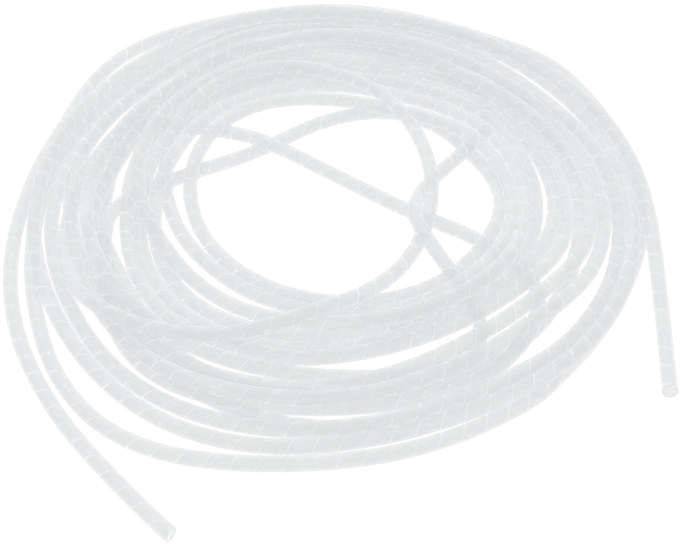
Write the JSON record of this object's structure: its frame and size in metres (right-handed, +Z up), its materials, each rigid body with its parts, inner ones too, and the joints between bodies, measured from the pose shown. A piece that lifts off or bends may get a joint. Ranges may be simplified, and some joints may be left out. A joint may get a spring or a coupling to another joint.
{
  "type": "spiral cable wrap coil",
  "caption": "Loose flat coil of translucent plastic spiral cable wrap, a helically slit tube, with both cut ends free and a few strands crossing the open middle.",
  "frame": {"origin": "middle of the bounding box on the floor that the coil lies on", "axes": "+Z up, along the axis of the coil; -Y towards the viewer of the picture, where the long free end comes out; +X to the viewer's right"},
  "size_m": [0.267, 0.3058, 0.019],
  "materials": {
    "wrap": "natural milky translucent polyethylene, smooth as extruded, satin"
  },
  "bodies": {
    "root": {"coil": "wrap", "tail_long": "wrap", "turn_front": "wrap", "tail_short": "wrap", "strand_a": "wrap", "strand_b": "wrap", "strand_c": "wrap", "strand_d": "wrap"}
  },
  "joints": []
}
